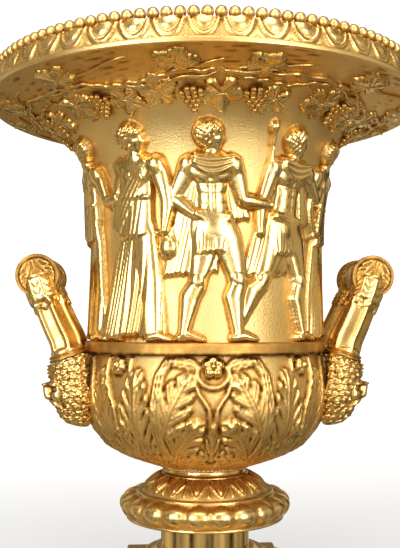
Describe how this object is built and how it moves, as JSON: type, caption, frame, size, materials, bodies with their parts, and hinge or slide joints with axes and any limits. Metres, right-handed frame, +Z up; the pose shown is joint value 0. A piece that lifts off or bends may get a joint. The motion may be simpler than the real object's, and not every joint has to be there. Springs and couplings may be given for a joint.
{
  "type": "mantel urn",
  "caption": "Gilt-bronze mantel urn of campana form, with beaded rim, vine, figure frieze, acanthus bowl, loop handles over masks, gadrooned foot and square plinth.",
  "frame": {"origin": "middle of the plinth's underside", "axes": "+Z up the urn's axis; the handles stand at +X and -X; the front of the picture faces -Y"},
  "size_m": [0.2676, 0.2676, 0.3287],
  "materials": {
    "bright_gilt": "polished, fire-gilt bronze",
    "matt_gilt": "finely pitted matt gilding with polished relief and brown patina in the hollows"
  },
  "bodies": {
    "root": {"plinth": "bright_gilt", "base_ring": "bright_gilt", "drum": "bright_gilt", "foot": "bright_gilt", "bowl": "matt_gilt", "bell": "matt_gilt", "handle_right": "bright_gilt", "handle_left": "bright_gilt", "mask_right_front": "matt_gilt", "mask_right_back": "matt_gilt", "mask_left_front": "matt_gilt", "mask_left_back": "matt_gilt"}
  },
  "joints": []
}
